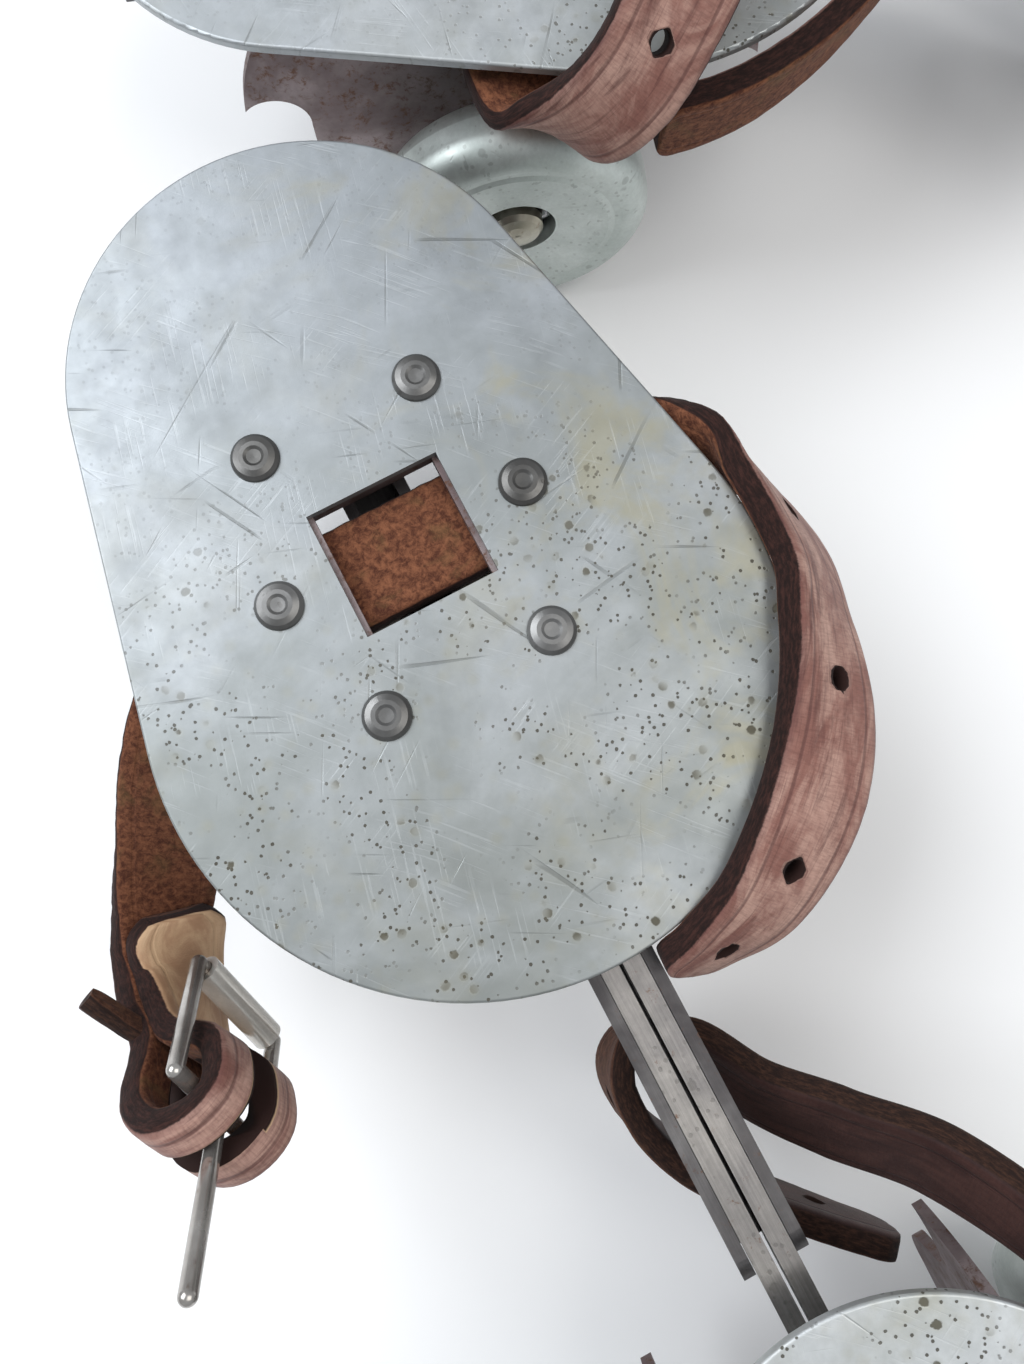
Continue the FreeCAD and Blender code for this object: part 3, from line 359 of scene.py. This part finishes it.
def leather(name, grain_tones, flesh_tones, edge_tones, polish=0.42, tail=0.0):
    """Old strap leather, paler on the grain side of its first tail millimetres.

    The mesh's own attributes say how far along and across a point is, and on which face.
    """
    shader = Shader(name)
    way = shader.attribute("way", "Vector")
    face = shader.attribute("face", "Fac")
    worn, pale, deep = (tint(*tone) for tone in grain_tones)
    patches = shader.noise(shader.stretch(way, (0.7, 1.6, 1.0)), 0.10, 5.0, 0.65, 0.8)
    grain = shader.mix(shader.span(patches, 0.36, 0.64), worn, pale)
    stains = shader.noise(shader.stretch(way, (0.35, 2.2, 1.0), 0, (40, 3, 0)), 0.16, 5.0, 0.7, 0.6)
    grain = shader.mix(shader.span(stains, 0.50, 0.74, 0.0, 0.8), grain, deep)
    threads = shader.noise(shader.stretch(way, (0.10, 3.0, 1.0)), 0.9, 4.0, 0.7)
    grain = shader.mix(shader.span(threads, 0.52, 0.72, 0.0, 0.45), grain, deep)
    hatch = shader.noise(shader.stretch(way, (3.2, 0.45, 1.0)), 1.1, 4.0, 0.7)
    grain = shader.mix(shader.span(hatch, 0.30, 0.62, 0.32, 0.0), grain, deep)
    side = shader.calc("ABSOLUTE", shader.part(way, 1), 0.0)
    tooled = shader.calc("SUBTRACT", 1.0, shader.span(shader.calc(
        "ABSOLUTE", shader.calc("SUBTRACT", side, 5.3), 0.0), 0.10, 0.42))
    grain = shader.mix(shader.calc("MULTIPLY", tooled, 0.55), grain, deep)
    grain = shader.mix(shader.span(side, 6.6, 7.9, 0.0, 0.5), grain, deep)
    if tail:
        clean = shader.mix(shader.span(patches, 0.40, 0.62), tint(176, 140, 108), tint(204, 172, 136))
        grain = shader.mix(shader.span(shader.part(way, 0), tail, tail - 6.0, 0.0, 0.85), grain, clean)

    flesh_dark, flesh_light, flesh_olive = (tint(*tone) for tone in flesh_tones)
    fuzz = shader.noise(way, 0.85, 6.0, 0.8, 0.4)
    flesh = shader.mix(shader.span(fuzz, 0.36, 0.66), flesh_dark, flesh_light)
    olive = shader.span(shader.noise(way, 0.13, 4.0, 0.6, 0.5), 0.54, 0.68, 0.0, 0.35)
    flesh = shader.mix(olive, flesh, flesh_olive)

    edge_dark, edge_light = (tint(*tone) for tone in edge_tones)
    fibres = shader.noise(shader.stretch(way, (0.5, 1.0, 2.0)), 1.0, 5.0, 0.75)
    edge = shader.mix(shader.span(fibres, 0.4, 0.68), edge_dark, edge_light)

    ragged = shader.calc("ADD", face, shader.calc("MULTIPLY", shader.calc("SUBTRACT", fuzz, 0.5), 0.55))
    colour = shader.mix(shader.span(ragged, 0.38, 0.62), edge, grain)
    colour = shader.mix(shader.span(ragged, -0.38, -0.62), colour, flesh)
    crease = shader.calc("MULTIPLY", shader.noise(shader.stretch(way, (1.5, 0.4, 1.0)), 0.75, 5.0, 0.7), 0.8)
    height = shader.calc("SUBTRACT", shader.calc("ADD", crease, shader.calc("MULTIPLY", fuzz, 0.5)),
                        shader.calc("MULTIPLY", tooled, 0.5))
    grain_share = shader.span(face, 0.2, 0.8)
    shine = shader.calc("ADD", polish, shader.calc("MULTIPLY", fuzz, 0.2))
    roughness = shader.calc("ADD", shader.calc("MULTIPLY", grain_share, shine),
                           shader.calc("MULTIPLY", shader.calc("SUBTRACT", 1.0, grain_share), 0.9))
    shader.skin(Roughness=roughness, Normal=shader.bump(height, 0.16, 0.8),
                **{"Base Color": colour, "Specular IOR Level": 0.20, "Sheen Weight": 0.03,
                   "Sheen Roughness": 0.5})
    return shader


# ---------------------------------------------------------------- straps

# Strap stations, the same as in the CAD source: the middle of the strap, and the way from its heel or
# lower edge to its toe or upper edge.  The buckle end is the left skate's; the right's is mirrored.
BUCKLE_END = [
    ((-66.3, -50.5, -17.5), (-0.15, 0.72, 0.66)),
    ((-67.5, -43.8, -24.0), (-0.23, 0.64, 0.73)),
    ((-65.8, -35.8, -28.0), (-0.30, 0.60, 0.74)),
    ((-60.6, -27.6, -27.0), (-0.36, 0.62, 0.70)),
    ((-53.4, -19.6, -20.8), (-0.38, 0.70, 0.58)),
    ((-45.6, -11.6, -12.6), (-0.34, 0.82, 0.42)),
    ((-37.5, -4.4, -8.2), (-0.18, 0.97, 0.14)),
]
TAIL_STATIONS = 4             # the strap's end lies on this many of the stations above
TAIL_GAP = 4.7                # between the middles of the two layers
TAIL_ASIDE = 0.5              # the end lies this much nearer the heel edge
UNDER_PLATE = [
    ((-27.0, 0.0, -7.0), (0.0, 1.0, 0.0)),
    ((-16.5, 0.0, -6.9), (0.0, 1.0, 0.0)),
    ((-8.0, 0.0, -6.25), (0.0, 1.0, 0.0)),
    ((8.0, 0.0, -6.25), (0.0, 1.0, 0.0)),
    ((16.5, 0.0, -6.9), (0.0, 1.0, 0.0)),
    ((27.0, 0.0, -7.0), (0.0, 1.0, 0.0)),
]


def rim_axes(angle, lean):
    """The way out from the plate's wide edge at an angle, and the rise that goes with a strap's lean."""
    turn = math.radians(angle)
    return Vector((math.cos(turn), math.sin(turn), 0)), math.sqrt(1 - lean * lean)


def hug(angle, spread, over):
    """A strap station on the plate's wide edge: the upper edge leans in over the plate, the lower one out."""
    out, steep = rim_axes(angle, spread)
    lift = over * steep / spread + EDGE_AIR
    corner = Vector((0, WAIST_CENTRE, lift)) + out * (PLATE_HALF_WIDTH - over)
    centre = corner + (out * spread - UP * steep) * (STRAP_WIDTH / 2)
    centre += (out * steep + UP * spread) * (STRAP_THICK / 2)
    return (tuple(centre), tuple(UP * steep - out * spread))


def hang(angle, lean, top, gap):
    """A strap station beside the plate's wide edge: the upper edge leans out, the lower one in."""
    out, steep = rim_axes(angle, lean)
    across = out * lean + UP * steep
    corner = Vector((0, WAIST_CENTRE, top)) + out * (PLATE_HALF_WIDTH + gap)
    centre = corner - across * (STRAP_WIDTH / 2) + (out * steep - UP * lean) * (STRAP_THICK / 2)
    return (tuple(centre), tuple(across))


LEFT_FREE_END = [
    ((36.0, -1.0, -7.4), (-0.06, 0.99, 0.04)),
    ((43.2, -4.8, -7.0), (-0.28, 0.86, 0.42)),
    ((49.4, -10.8, -5.4), (-0.36, 0.50, 0.79)),
    hug(-8, 0.56, 1.0),
    hug(-21, 0.69, 2.8),
    hug(-34, 0.86, 3.3),
    hug(-46, 0.92, 3.1),
    hug(-57, 0.88, 2.5),
    hug(-67, 0.74, 1.0),
    hug(-76, 0.50, 0.0),
    hug(-82, 0.36, -0.6),
]
RIGHT_FREE_END = [
    ((-38.0, -0.5, -6.8), (0.0, 0.99, 0.08)),
    ((-45.5, -3.6, -7.6), (0.14, 0.90, 0.34)),
    ((-50.4, -9.8, -4.0), (0.30, 0.72, 0.62)),
    ((-49.6, -16.5, 2.4), (0.42, 0.62, 0.60)),
    ((-44.0, -22.5, 8.8), (0.45, 0.70, 0.50)),
    ((-35.5, -28.5, 13.4), (0.50, 0.78, 0.36)),
    ((-24.5, -35.5, 16.0), (0.55, 0.80, 0.18)),
    ((-10.0, -43.5, 17.0), (0.52, 0.84, 0.10)),
    ((6.0, -51.0, 16.0), (0.42, 0.88, 0.18)),
    ((20.0, -59.0, 12.5), (0.20, 0.80, 0.50)),
    ((28.0, -69.5, 8.6), (-0.30, 0.45, 0.84)),
    ((24.0, -78.5, 6.2), (-0.16, 0.16, 0.97)),
    ((11.0, -81.0, 4.2), (0.0, 0.0, 1.0)),
    hang(-99, 0.05, 11.0, 11.0),
    hang(-112, 0.12, 7.0, 6.5),
    hang(-126, 0.16, 3.0, 3.4),
    hang(-141, 0.17, 0.6, 1.8),
    hang(-155, 0.17, -0.6, 1.5),
    hang(-167, 0.17, -1.2, 1.5),
    hang(-177, 0.16, -1.4, 1.5),
]
ANKLE_LOOP = [
    ((18.5, -131.0, -35.5), (-0.10, 0.25, 0.96)),
    ((9.0, -121.5, -36.0), (-0.12, 0.20, 0.97)),
    ((0.8, -112.5, -36.2), (-0.08, 0.10, 0.99)),
    ((-5.4, -104.0, -36.0), (0.0, 0.0, 1.0)),
    ((-8.9, -95.0, -35.0), (0.08, 0.0, 1.0)),
    ((-8.2, -86.8, -34.0), (0.10, 0.0, 0.99)),
    ((-2.6, -83.0, -32.8), (0.16, 0.14, 0.98)),
    ((4.0, -87.2, -31.4), (0.30, 0.20, 0.93)),
    ((9.5, -97.5, -28.6), (0.44, 0.27, 0.86)),
    ((18.2, -106.8, -23.9), (0.52, 0.32, 0.79)),
    ((28.2, -116.0, -17.6), (0.46, 0.34, 0.82)),
    ((35.2, -127.8, -9.8), (0.30, 0.38, 0.87)),
    ((38.8, -141.0, -1.0), (0.14, 0.42, 0.90)),
    ((40.5, -151.0, 8.0), (0.06, 0.40, 0.91)),
    ((38.0, -161.5, 15.0), (0.02, 0.20, 0.98)),
    ((32.6, -175.0, 17.6), (0.0, 0.05, 1.0)),
    ((28.6, -188.0, 18.2), (0.0, 0.0, 1.0)),
    ((20.5, -204.0, 18.2), (0.0, 0.0, 1.0)),
    ((0.0, -214.2, 18.2), (0.0, 0.0, 1.0)),
    ((-20.5, -204.0, 18.2), (0.0, 0.0, 1.0)),
    ((-28.6, -188.0, 18.2), (0.0, 0.0, 1.0)),
    ((-32.6, -175.0, 17.6), (0.0, 0.05, 1.0)),
    ((-38.0, -161.5, 16.4), (0.0, 0.08, 1.0)),
    ((-40.9, -150.0, 13.5), (0.0, 0.06, 1.0)),
]

# The folds round the buckles' bars, in the buckle's own plane: (towards its far side, aside from it).
FRONT_FOLD = [(7.4, 2.6), (2.6, 4.9), (-2.0, 4.8), (-4.9, 1.0), (-4.2, -4.4), (1.6, -8.6)]
FRONT_TILT = 0.15                   # how much the fold's two edges are aside from each other
ANKLE_FOLD = [(8.4, -4.4), (2.2, -4.2), (-2.7, -3.4), (-4.3, 0.0), (-2.7, 3.4), (2.4, 4.4), (8.0, 4.4)]
SLOT_HALF = 2.1                     # half width of the slot in which the tongue turns
SLOT_FRONT, SLOT_BACK = 10.0, -14.0
SLOT_DEEP = 16.0                    # more than the fold is thick, each way from the bar
THONG = [
    ((-64.6, -48.6, -17.2), (-0.2, 0.3, 0.9)),
    ((-67.4, -44.4, -14.6), (-0.3, 0.4, 0.8)),
    ((-69.4, -39.6, -12.2), (-0.3, 0.5, 0.8)),
    ((-71.0, -36.0, -10.6), (-0.3, 0.5, 0.8)),
]
THONG_WIDTH, THONG_THICK = 3.6, 3.0

# The punched holes: how far a front strap's are from its free end, and an ankle strap's from its start.
FRONT_HOLES = {"left": (7.2, 21.4, 47.8, 74.0), "right": (130.8, 157.2, 183.6, 210.0)}
ANKLE_HOLES = (13.0, 32.0, 51.0, 70.0)
HOLE_RADIUS = 1.75

# Each buckle's bar, the way along it and the way to the buckle's far side, on the left skate.
FRONT_BUCKLE = ((-58.8, -58.4, -5.8), (0.06, -0.80, -0.59), (0.20, 0.59, -0.78))
ANKLE_BUCKLE = ((-41.6, -132.6, 12.0), (0.0, 0.0, -1.0), (-0.20, -0.98, 0.0))


def mirrored(stations):
    return [((-x, y, z), (-a, b, c)) for (x, y, z), (a, b, c) in stations]


def buckle_on(buckle, side):
    """A buckle's three vectors on a side: they are given for the left skate, and the right's are mirrored."""
    return buckle if side == "left" else tuple((-x, y, z) for x, y, z in buckle)


def buckle_axes(buckle):
    """The middle of a buckle's bar, the bar's direction, the way to the far side, and its third axis."""
    bar, along, reach = (Vector(part) for part in buckle)
    along.normalize()
    reach = (reach - along * reach.dot(along)).normalized()
    return bar, along, reach, along.cross(reach)


def folded(buckle, turn_points, tilt=0.0):
    """Stations of the fold round a buckle's bar, from points given in the buckle's own plane."""
    bar, along, reach, out = buckle_axes(buckle)
    across = tuple(-(along + out * tilt))
    return [(tuple(bar + reach * forward + out * aside), across) for forward, aside in turn_points]


def laid_on(stations, gap, aside):
    """Stations of a second layer of the strap on the first, nearer its heel edge."""
    result = []
    for number, (centre, across) in enumerate(stations):
        before = Vector(stations[max(number - 1, 0)][0])
        after = Vector(stations[min(number + 1, len(stations) - 1)][0])
        along = (after - before).normalized()
        across = square_to(along, Vector(across))
        place = Vector(centre) + along.cross(across) * gap - across * aside
        result.append((tuple(place), tuple(across)))
    return result


def square_to(along, across):
    """across, turned square to along, with a length of 1."""
    return (across - along * across.dot(along)).normalized()


def curve_through(stations, spacing):
    """Rings along a smooth curve through the stations, about spacing apart."""
    points = [(Vector(place), Vector(across)) for place, across in stations]
    points = [points[0]] + points + [points[-1]]
    rings = []
    for first, start, end, last in zip(points, points[1:], points[2:], points[3:]):
        count = max(2, round((end[0] - start[0]).length / spacing))
        for step in range(count):
            rings.append([between(*four, step / count) for four in zip(first, start, end, last)])
    rings.append([points[-1][0].copy(), points[-1][1].copy()])
    return rings


def between(before, start, end, after, part):
    """A point on the smooth curve between start and end that also follows their neighbours."""
    linear = end - before
    square = before * 2 - start * 5 + end * 4 - after
    cube = start * 3 - before - end * 3 + after
    return start + (linear * part + square * part ** 2 + cube * part ** 3) * 0.5


def section(half, thick):
    """A strap's outline as (across, through, face): face is 1 on the grain side and -1 on the flesh side."""
    corner = min(EDGE_ROUNDING, thick * 0.6)
    steps = [-half + corner + (half - corner) * 2 * step / 12 for step in range(13)]
    shoulder = (half - 0.35, thick - 0.25)
    right_edge = [(*shoulder, 0.6), (half, thick - corner, 0.0), (half, 0.0, 0.0),
                  (half, corner - thick, 0.0), (shoulder[0], -shoulder[1], -0.6)]
    grain_side = [(across, thick, 1.0) for across in steps]
    half_outline = grain_side + right_edge
    return half_outline + [(-across, -through, -face) for across, through, face in half_outline]


def strap_row(bm, outline, centre, directions, travelled, to_end, seed):
    """One ring of a strap's points: a slightly cupped outline with small waves, narrower near an end."""
    along, across, through = directions
    way = bm.verts.layers.float_vector["way"]
    face = bm.verts.layers.float["face"]
    half = max(side for side, height, kind in outline)
    taper = 1.0 - 0.35 * max(0.0, 1.0 - min(travelled, to_end) / 3.5) ** 2
    row = []
    for side, height, kind in outline:
        wave = noise.noise(Vector((travelled * 0.09, side * 0.12 + seed, seed)))
        fine = noise.noise(Vector((travelled * 0.55, side * 0.5, seed + 9)))
        cup = 0.30 * (side / half) ** 2
        point = centre + across * (side * taper + 0.16 * fine * (abs(side) / half) ** 6)
        point += through * (height - cup + 0.22 * wave + 0.05 * fine)
        vertex = bm.verts.new(point)
        vertex[way] = (travelled, side, height)
        vertex[face] = kind
        row.append(vertex)
    return row


def skin_rows(bm, rows):
    """Faces between a strap's rows of points, and a fan of faces over each end."""
    way = bm.verts.layers.float_vector["way"]
    neighbours = [(index, (index + 1) % len(rows[0])) for index in range(len(rows[0]))]
    for first, second in zip(rows, rows[1:]):
        for index, following in neighbours:
            bm.faces.new((first[index], first[following], second[following], second[index]))
    for row, is_start in ((rows[0], True), (rows[-1], False)):
        middle = bm.verts.new(sum((vertex.co for vertex in row), Vector()) / len(row))
        middle[way] = row[0][way]
        for index, following in neighbours:
            pair = (row[index], row[following])
            bm.faces.new((middle, *reversed(pair)) if is_start else (middle, *pair))
    bmesh.ops.recalc_face_normals(bm, faces=bm.faces)


def strap_mesh(name, stations, matrix, grain_side, seed, width=STRAP_WIDTH, depth=STRAP_THICK):
    """A strap swept along its stations, with its grain on the side that grain_side, 1 or -1, picks."""
    rings = curve_through(stations, RING_SPACING)
    outline = section(width / 2, depth / 2)
    bm = bmesh.new()
    bm.verts.layers.float_vector.new("way")
    bm.verts.layers.float.new("face")
    rows = []
    travelled = 0.0
    for number, (centre, across) in enumerate(rings):
        before = rings[max(number - 1, 0)][0]
        after = rings[min(number + 1, len(rings) - 1)][0]
        along = (after - before).normalized()
        across = square_to(along, across)
        travelled += (centre - before).length
        to_end = (len(rings) - 1 - number) * RING_SPACING
        directions = (along, across, along.cross(across) * grain_side)
        rows.append(strap_row(bm, outline, centre, directions, travelled, to_end, seed))
    skin_rows(bm, rows)
    bm.transform(matrix)
    return piece_from(bm, name)


def cutter(name, outline, depth, matrix):
    """A closed prism on an outline, depth to each side of its plane, to cut a hole or slot with."""
    bm = bmesh.new()
    low = [bm.verts.new(matrix @ Vector((x, y, -depth))) for x, y in outline]
    high = [bm.verts.new(matrix @ Vector((x, y, depth))) for x, y in outline]
    bm.faces.new(list(reversed(low)))
    bm.faces.new(high)
    for index in range(len(outline)):
        following = (index + 1) % len(outline)
        bm.faces.new((low[index], low[following], high[following], high[index]))
    bmesh.ops.recalc_face_normals(bm, faces=bm.faces)
    return piece_from(bm, name)


def cut_out(piece, tools):
    """Cut the tools out of a piece, apply that, and remove the tools."""
    for tool in tools:
        modifier = piece.modifiers.new("cut", "BOOLEAN")
        modifier.operation = "DIFFERENCE"
        modifier.solver = "EXACT"
        modifier.object = tool
    bpy.context.view_layer.update()
    depsgraph = bpy.context.evaluated_depsgraph_get()
    evaluated = piece.evaluated_get(depsgraph)
    mesh = bpy.data.meshes.new_from_object(evaluated, preserve_all_data_layers=True, depsgraph=depsgraph)
    piece.modifiers.clear()
    piece.data = mesh
    for tool in tools:
        bpy.data.objects.remove(tool)


def frame_at(stations, distance):
    """The centre, along, across and through directions of a strap at a distance from its first station."""
    rings = curve_through(stations, MEASURE_SPACING)
    travelled = 0.0
    for (here, across), (there, next_across) in zip(rings, rings[1:]):
        travelled += (there - here).length
        if travelled >= distance:
            along = (there - here).normalized()
            across = square_to(along, across)
            return here, along, across, along.cross(across)
    raise ValueError("the strap is shorter than that")


def strap_length(stations):
    rings = curve_through(stations, MEASURE_SPACING)
    return sum((there[0] - here[0]).length for here, there in zip(rings, rings[1:]))


def hole_tools(stations, distances, matrix):
    """Cutters for slightly oval punched holes on the strap's centre line."""
    angles = [2 * math.pi * step / 20 for step in range(20)]
    outline = [(HOLE_RADIUS * math.cos(angle), HOLE_RADIUS * 0.86 * math.sin(angle)) for angle in angles]
    tools = []
    for number, distance in enumerate(distances):
        centre, along, across, through = frame_at(stations, distance)
        turn = Matrix((along, across, through)).transposed().to_4x4()
        tools.append(cutter(f"punch_{number}", outline, 6.0, matrix @ Matrix.Translation(centre) @ turn))
    return tools


def slot_tool(buckle, matrix):
    """The cutter of the tongue's slot across the fold, with bevelled corners at its far end."""
    bar, along, reach, out = buckle_axes(buckle)
    turn = Matrix((along, reach, out)).transposed().to_4x4()
    bevel = 1.4
    right = [(SLOT_HALF, SLOT_BACK), (SLOT_HALF, SLOT_FRONT - bevel), (SLOT_HALF - 0.8, SLOT_FRONT)]
    outline = [(-SLOT_HALF, SLOT_BACK)] + right + [(-across, reach) for across, reach in right[:0:-1]]
    return cutter("slot", outline, SLOT_DEEP, matrix @ Matrix.Translation(bar) @ turn)


def finish_strap(piece, material, body):
    """Smooth a leather piece, give it its material, and let it ride on a body."""
    piece.data.materials.clear()
    piece.data.materials.append(material)
    for polygon in piece.data.polygons:
        polygon.use_smooth = True
    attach(piece, body)


def front_stations(side):
    """A front strap from its lapped end, round the buckle's bar and under the plate to its free end."""
    tail = laid_on(BUCKLE_END[:TAIL_STATIONS + 1], TAIL_GAP, TAIL_ASIDE)[:TAIL_STATIONS]
    stations = tail[::-1] + folded(FRONT_BUCKLE, FRONT_FOLD, FRONT_TILT) + BUCKLE_END + UNDER_PLATE
    return stations + LEFT_FREE_END if side == "left" else mirrored(stations) + RIGHT_FREE_END


def front_strap(side):
    matrix = PLACE[side]
    stations = front_stations(side)
    grain_side, seed = {"left": (-1.0, 3.0), "right": (1.0, 8.0)}[side]
    piece = strap_mesh(f"{side}_front_strap_leather", stations, matrix, grain_side, seed)
    length = strap_length(stations)
    holes = hole_tools(stations, [length - from_end for from_end in FRONT_HOLES[side]], matrix)
    cut_out(piece, holes + [slot_tool(buckle_on(FRONT_BUCKLE, side), matrix)])
    finish_strap(piece, LEATHER["front"].material, f"{side}_skate_front")
    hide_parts(f"{side}_skate_front_strap")


def ankle_strap(side):
    matrix = PLACE[side]
    stations = ANKLE_LOOP + folded(ANKLE_BUCKLE, ANKLE_FOLD)
    if side == "right":
        stations = mirrored(stations)
    grain_side, seed = {"left": (1.0, 14.0), "right": (-1.0, 21.0)}[side]
    piece = strap_mesh(f"{side}_ankle_strap_leather", stations, matrix, grain_side, seed)
    holes = hole_tools(stations, ANKLE_HOLES, matrix)
    cut_out(piece, holes + [slot_tool(buckle_on(ANKLE_BUCKLE, side), matrix)])
    finish_strap(piece, LEATHER["ankle"].material, f"{side}_skate_heel")
    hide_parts(f"{side}_skate_ankle_strap")


def thong():
    """The short end of a leather thong beside the left front buckle's fold."""
    piece = strap_mesh("left_front_thong_leather", THONG, PLACE["left"], -1.0, 5.0, THONG_WIDTH, THONG_THICK)
    piece.data.materials.append(LEATHER["ankle"].material)
    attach(piece, "left_skate_front")


# ---------------------------------------------------------------- finishes of the CAD nodes

def cad_finishes(side):
    """The finish of each kind of node on one skate."""
    matrix = PLACE[side]
    tag = f"{side}_"
    # The right skate's plate is painted lighter by 34, and both heel plates by 42: painted light on copies of
    # the same galvanised plate.
    plate = plate_metal(tag + "galvanised_plate", matrix, 0 if side == "left" else 34)
    heel_plate_painted_lighter = plate_metal(tag + "heel_plate", matrix, 42)
    rivets = worn_metal(tag + "rivet_steel", matrix, (132, 132, 131), (92, 91, 89), (0.30, 0.44), pits=0.4)
    bracket = worn_metal(tag + "bracket_steel", matrix, (158, 146, 146), (112, 98, 98), (0.42, 0.62),
                         rust=0.55)
    channel = worn_metal(tag + "channel_steel", matrix, (126, 124, 124), (74, 71, 72), (0.34, 0.5),
                         rust=0.15, brushed=True)
    bars = worn_metal(tag + "bar_steel", matrix, (172, 168, 163), (130, 127, 126), (0.28, 0.42),
                      pits=0.3, rust=0.12, brushed=True)
    axle = worn_metal(tag + "axle_steel", matrix, (150, 146, 138), (104, 98, 88), (0.34, 0.5), rust=0.4)
    nuts = worn_metal(tag + "nut_steel", matrix, (214, 212, 200), (160, 154, 138), (0.28, 0.42), rust=0.2)
    clamp = worn_metal(tag + "clamp_steel", matrix, (168, 164, 156), (112, 106, 98), (0.32, 0.5), rust=0.35)
    wheels = worn_metal(tag + "wheel_steel", matrix, (220, 226, 223), (194, 202, 198), (0.40, 0.58),
                        pits=0.25, marks=0.25)
    balls = worn_metal(tag + "ball_steel", matrix, (196, 196, 198), (150, 150, 152), (0.12, 0.2))
    nickel = worn_metal(tag + "buckle_nickel", matrix, (214, 212, 208), (150, 144, 138), (0.14, 0.30),
                        rust=0.15, metallic=0.8)
    roller = worn_metal(tag + "roller_nickel", matrix, (232, 231, 227), (206, 203, 196), (0.14, 0.28),
                        metallic=0.5)
    return {
        "plate": plate, "heel_plate": heel_plate_painted_lighter, "heel_cup": heel_plate_painted_lighter, "rivets": rivets,
        "bracket": bracket, "keel_channel": channel, "slider_bars": bars, "axle": axle, "axle_nuts": nuts,
        "clamp_bolt": clamp, "wing_nut": clamp, "wheel": wheels, "balls": balls, "roller": roller,
        "buckle": nickel, "tongue": nickel,
    }


def dress(side):
    """Give every CAD node of a skate its finish, by the longest ending that its name has."""
    finishes = cad_finishes(side)
    for name, node in frame["nodes"].items():
        if not name.startswith(side) or name.endswith("strap"):
            continue
        ending = max((key for key in finishes if name.endswith(key)), key=len)
        node.data.materials.clear()
        node.data.materials.append(finishes[ending].material)


make_camera()
make_studio()
LEATHER = {
    "front": leather("front_strap_hide", ((136, 94, 84), (184, 148, 134), (80, 48, 46)),
                     ((70, 38, 27), (128, 82, 58), (98, 80, 50)), ((30, 18, 16), (60, 36, 31)), tail=34.0),
    "ankle": leather("ankle_strap_hide", ((56, 35, 32), (76, 50, 45), (36, 23, 23)),
                     ((60, 37, 29), (96, 64, 48), (78, 58, 41)), ((34, 22, 19), (66, 44, 34)), 0.5),
}
for skate in SIDES:
    dress(skate)
    front_strap(skate)
    ankle_strap(skate)
thong()
